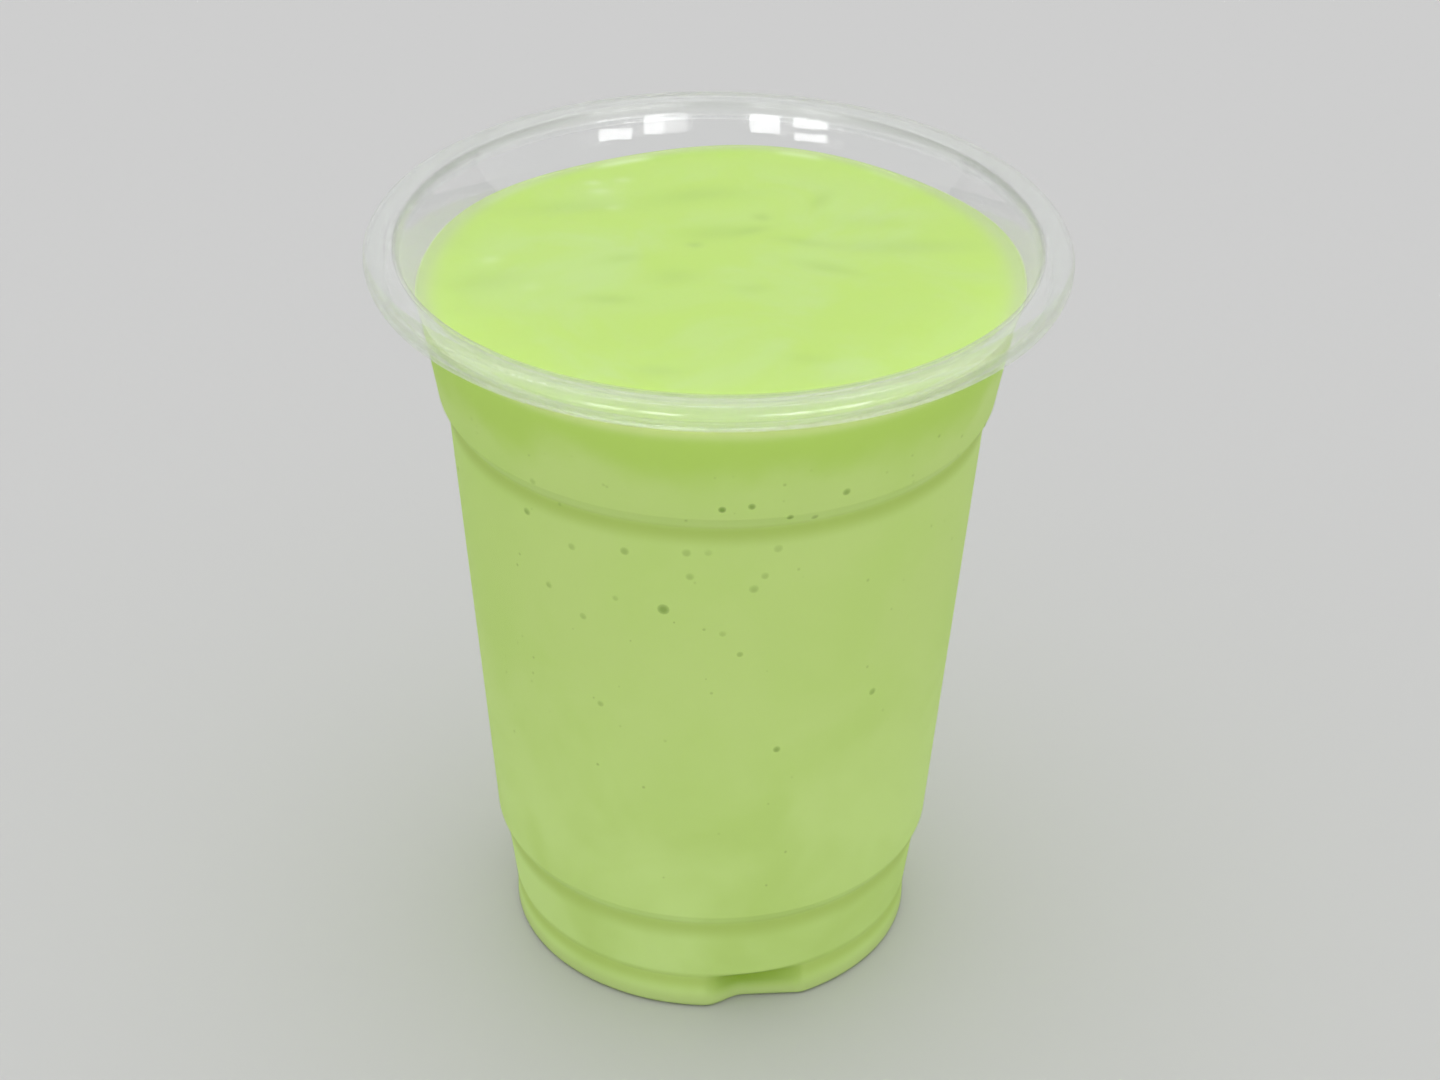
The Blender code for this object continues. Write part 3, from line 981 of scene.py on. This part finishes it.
def mark_top_faces():
    """The first material on the faces of the top and the second on the rest."""
    rows_on_top = len(drink_path()) - len(drink_side())
    faces = np.arange(len(drink.data.polygons))
    quads = len(faces) - 2 * DRINK_SEGMENTS
    in_top_rows = faces < (rows_on_top - 1) * DRINK_SEGMENTS
    in_top_fan = (faces >= quads) & (faces < quads + DRINK_SEGMENTS)
    drink.data.polygons.foreach_set("material_index", np.where(in_top_rows | in_top_fan, 0, 1))


dress(drink, shake_side())
mark_top_faces()

# %% [markdown]
# The bubbles' finish
#
# Real bubbles are little domes of air that bend light. At this size all that shows is a darker spot with a
# soft edge, so each dome wears the green of the side around it and a deep green in its middle. Which is
# which comes from the number that each point stores.

# %% The finish of the bubbles
BUBBLE_GREEN = linear(138, 170, 82)
BUBBLE_SKIN = {"Roughness": 0.4, "IOR": 1.33, "Specular IOR Level": 0.0}


def bubble_finish():
    """Deep green in the middle of a bubble, and the drink's own green at its edge."""
    finish = Finish("bubble")
    green = finish.blend(side_green(finish), BUBBLE_GREEN, finish.stored("shade"))
    return finish.done(finish.node("BsdfPrincipled", inputs={"Base Color": green, **BUBBLE_SKIN}))


dress(bubbles, bubble_finish())

# %% [markdown]
# Floor
#
# The cup stands on a plain pale floor. One flat plane that reaches far past the camera's view has no edge
# to see, and shows the cup's soft shade.

# %% Lay the floor
FLOOR_SIZE = 4.0
FLOOR_GREY = linear(204, 204, 204)
FLOOR_ROUGHNESS = 0.6


def floor_finish():
    """Plain, pale and dull."""
    finish = Finish("floor")
    return finish.done(finish.node("BsdfPrincipled", inputs={
        "Base Color": FLOOR_GREY, "Roughness": FLOOR_ROUGHNESS}))


def add_floor():
    """A square plane under the cup."""
    half = FLOOR_SIZE / 2
    mesh = bpy.data.meshes.new("floor")
    corners = [(-half, -half, 0), (half, -half, 0), (half, half, 0), (-half, half, 0)]
    mesh.from_pydata(corners, [], [(0, 1, 2, 3)])
    floor = bpy.data.objects.new("floor", mesh)
    bpy.context.scene.collection.objects.link(floor)
    dress(floor, floor_finish())


add_floor()

# %% [markdown]
# Lamps
#
# A soft box overhead gives the light a direction. The plastic also needs something to mirror: the panes of
# two windows in front, which show as bright patches inside the back of the neck. That wall is hollow
# towards the camera, so the right-hand window shows at the left. A picture of a room round the scene could
# be mirrored too, but a few panes are enough. They are linked to the cup alone and light nothing else, so
# they cast no hard shade, and the wet drink doesn't glare where it is seen from behind.

# %% Hang the lamps
OVERHEAD = {"azimuth": 180, "elevation": 80, "distance": 1.2, "width": 1.2, "height": 1.2, "strength": 1.5}
# Azimuth and width, elevation and height of each window pane, in degrees, and its strength
PANES = {
    "right_outer": (40.4, 11.8, 21.6, 6.4, 62),
    "right_outer_upper": (41.0, 14.0, 31.0, 8.0, 50),
    "right_inner": (25.3, 6.8, 28.0, 14.5, 60),
    "right_inner_dim": (17.5, 8.6, 28.0, 14.5, 26),
    "left_inner": (-16.8, 10.4, 27.8, 12.0, 62),
    "left_outer": (-34.3, 11.4, 20.6, 4.4, 62),
    "left_outer_upper": (-34.3, 11.4, 29.4, 8.0, 62),
}
WINDOW_DISTANCE = 1.3


def soft_box(name, azimuth, elevation, distance, width, height, strength, mirrored_in=None):
    """A lamp that faces the cup. Azimuth grows to the right from the front. It may light one set alone."""
    data = bpy.data.lights.new(name, "AREA")
    data.shape = "RECTANGLE"
    data.size = width
    data.size_y = height
    data.energy = strength * width * height
    lamp = bpy.data.objects.new(name, data)
    turn, rise = math.radians(azimuth), math.radians(elevation)
    away = Vector((math.sin(turn) * math.cos(rise), -math.cos(turn) * math.cos(rise), math.sin(rise)))
    lamp.location = LOOK_AT + away * distance
    lamp.rotation_euler = away.to_track_quat("Z", "Y").to_euler()
    if mirrored_in:
        lamp.visible_diffuse = False
        lamp.light_linking.receiver_collection = mirrored_in
    bpy.context.scene.collection.objects.link(lamp)


def across_at_window(degrees):
    """How wide an angle of view is at the windows: 2 distance tan(half of it)."""
    return 2 * WINDOW_DISTANCE * math.tan(math.radians(degrees / 2))


def hang_panes():
    """The panes of both windows, which only the cup mirrors."""
    mirrors = bpy.data.collections.new("mirrors")
    mirrors.objects.link(cup)
    for name, (azimuth, width, elevation, height, strength) in PANES.items():
        soft_box(name, azimuth, elevation, WINDOW_DISTANCE, across_at_window(width), across_at_window(height),
                 strength, mirrors)


hang_panes()
soft_box("overhead", **OVERHEAD)
print(1 + len(PANES), "lamps")

# %% [markdown]
# Light from all round
#
# A room's walls and ceiling send light from every side, and this soft light does most of the work here. It
# is a little stronger from above. Clear pieces pass a ray on many times before it ends, so more bounces are
# allowed than usual: with too few, the stacked walls of the plastic would turn dark.

# %% Add the light from all round
HORIZON_LIGHT = 0.84
SKY_LIGHT = 0.89
# The direction's z at which the horizon's light ends and from which the sky's is full
HORIZON_TO_SKY = (0.0, 0.6)
MOST_BOUNCES = 16


def add_world():
    """Light from all round. Its strength grows from the horizon up, smoothly with the direction's z."""
    world = bpy.data.worlds.new("studio")
    bpy.context.scene.world = world
    world.use_nodes = True
    nodes, links = world.node_tree.nodes, world.node_tree.links
    direction = nodes.new("ShaderNodeTexCoord")
    upward = nodes.new("ShaderNodeSeparateXYZ")
    strength = nodes.new("ShaderNodeMapRange")
    strength.interpolation_type = "SMOOTHSTEP"
    for socket, value in zip(strength.inputs[1:5], (*HORIZON_TO_SKY, HORIZON_LIGHT, SKY_LIGHT)):
        socket.default_value = value
    links.new(direction.outputs["Generated"], upward.inputs[0])
    links.new(upward.outputs["Z"], strength.inputs[0])
    links.new(strength.outputs[0], nodes["Background"].inputs["Strength"])
    nodes["Background"].inputs["Color"].default_value = (1, 1, 1, 1)


add_world()
bpy.context.scene.view_settings.view_transform = "Standard"
bpy.context.scene.cycles.max_bounces = MOST_BOUNCES
bpy.context.scene.cycles.transmission_bounces = MOST_BOUNCES
bpy.context.scene.cycles.transparent_max_bounces = MOST_BOUNCES
print("light from all round:", HORIZON_LIGHT, "to", SKY_LIGHT)
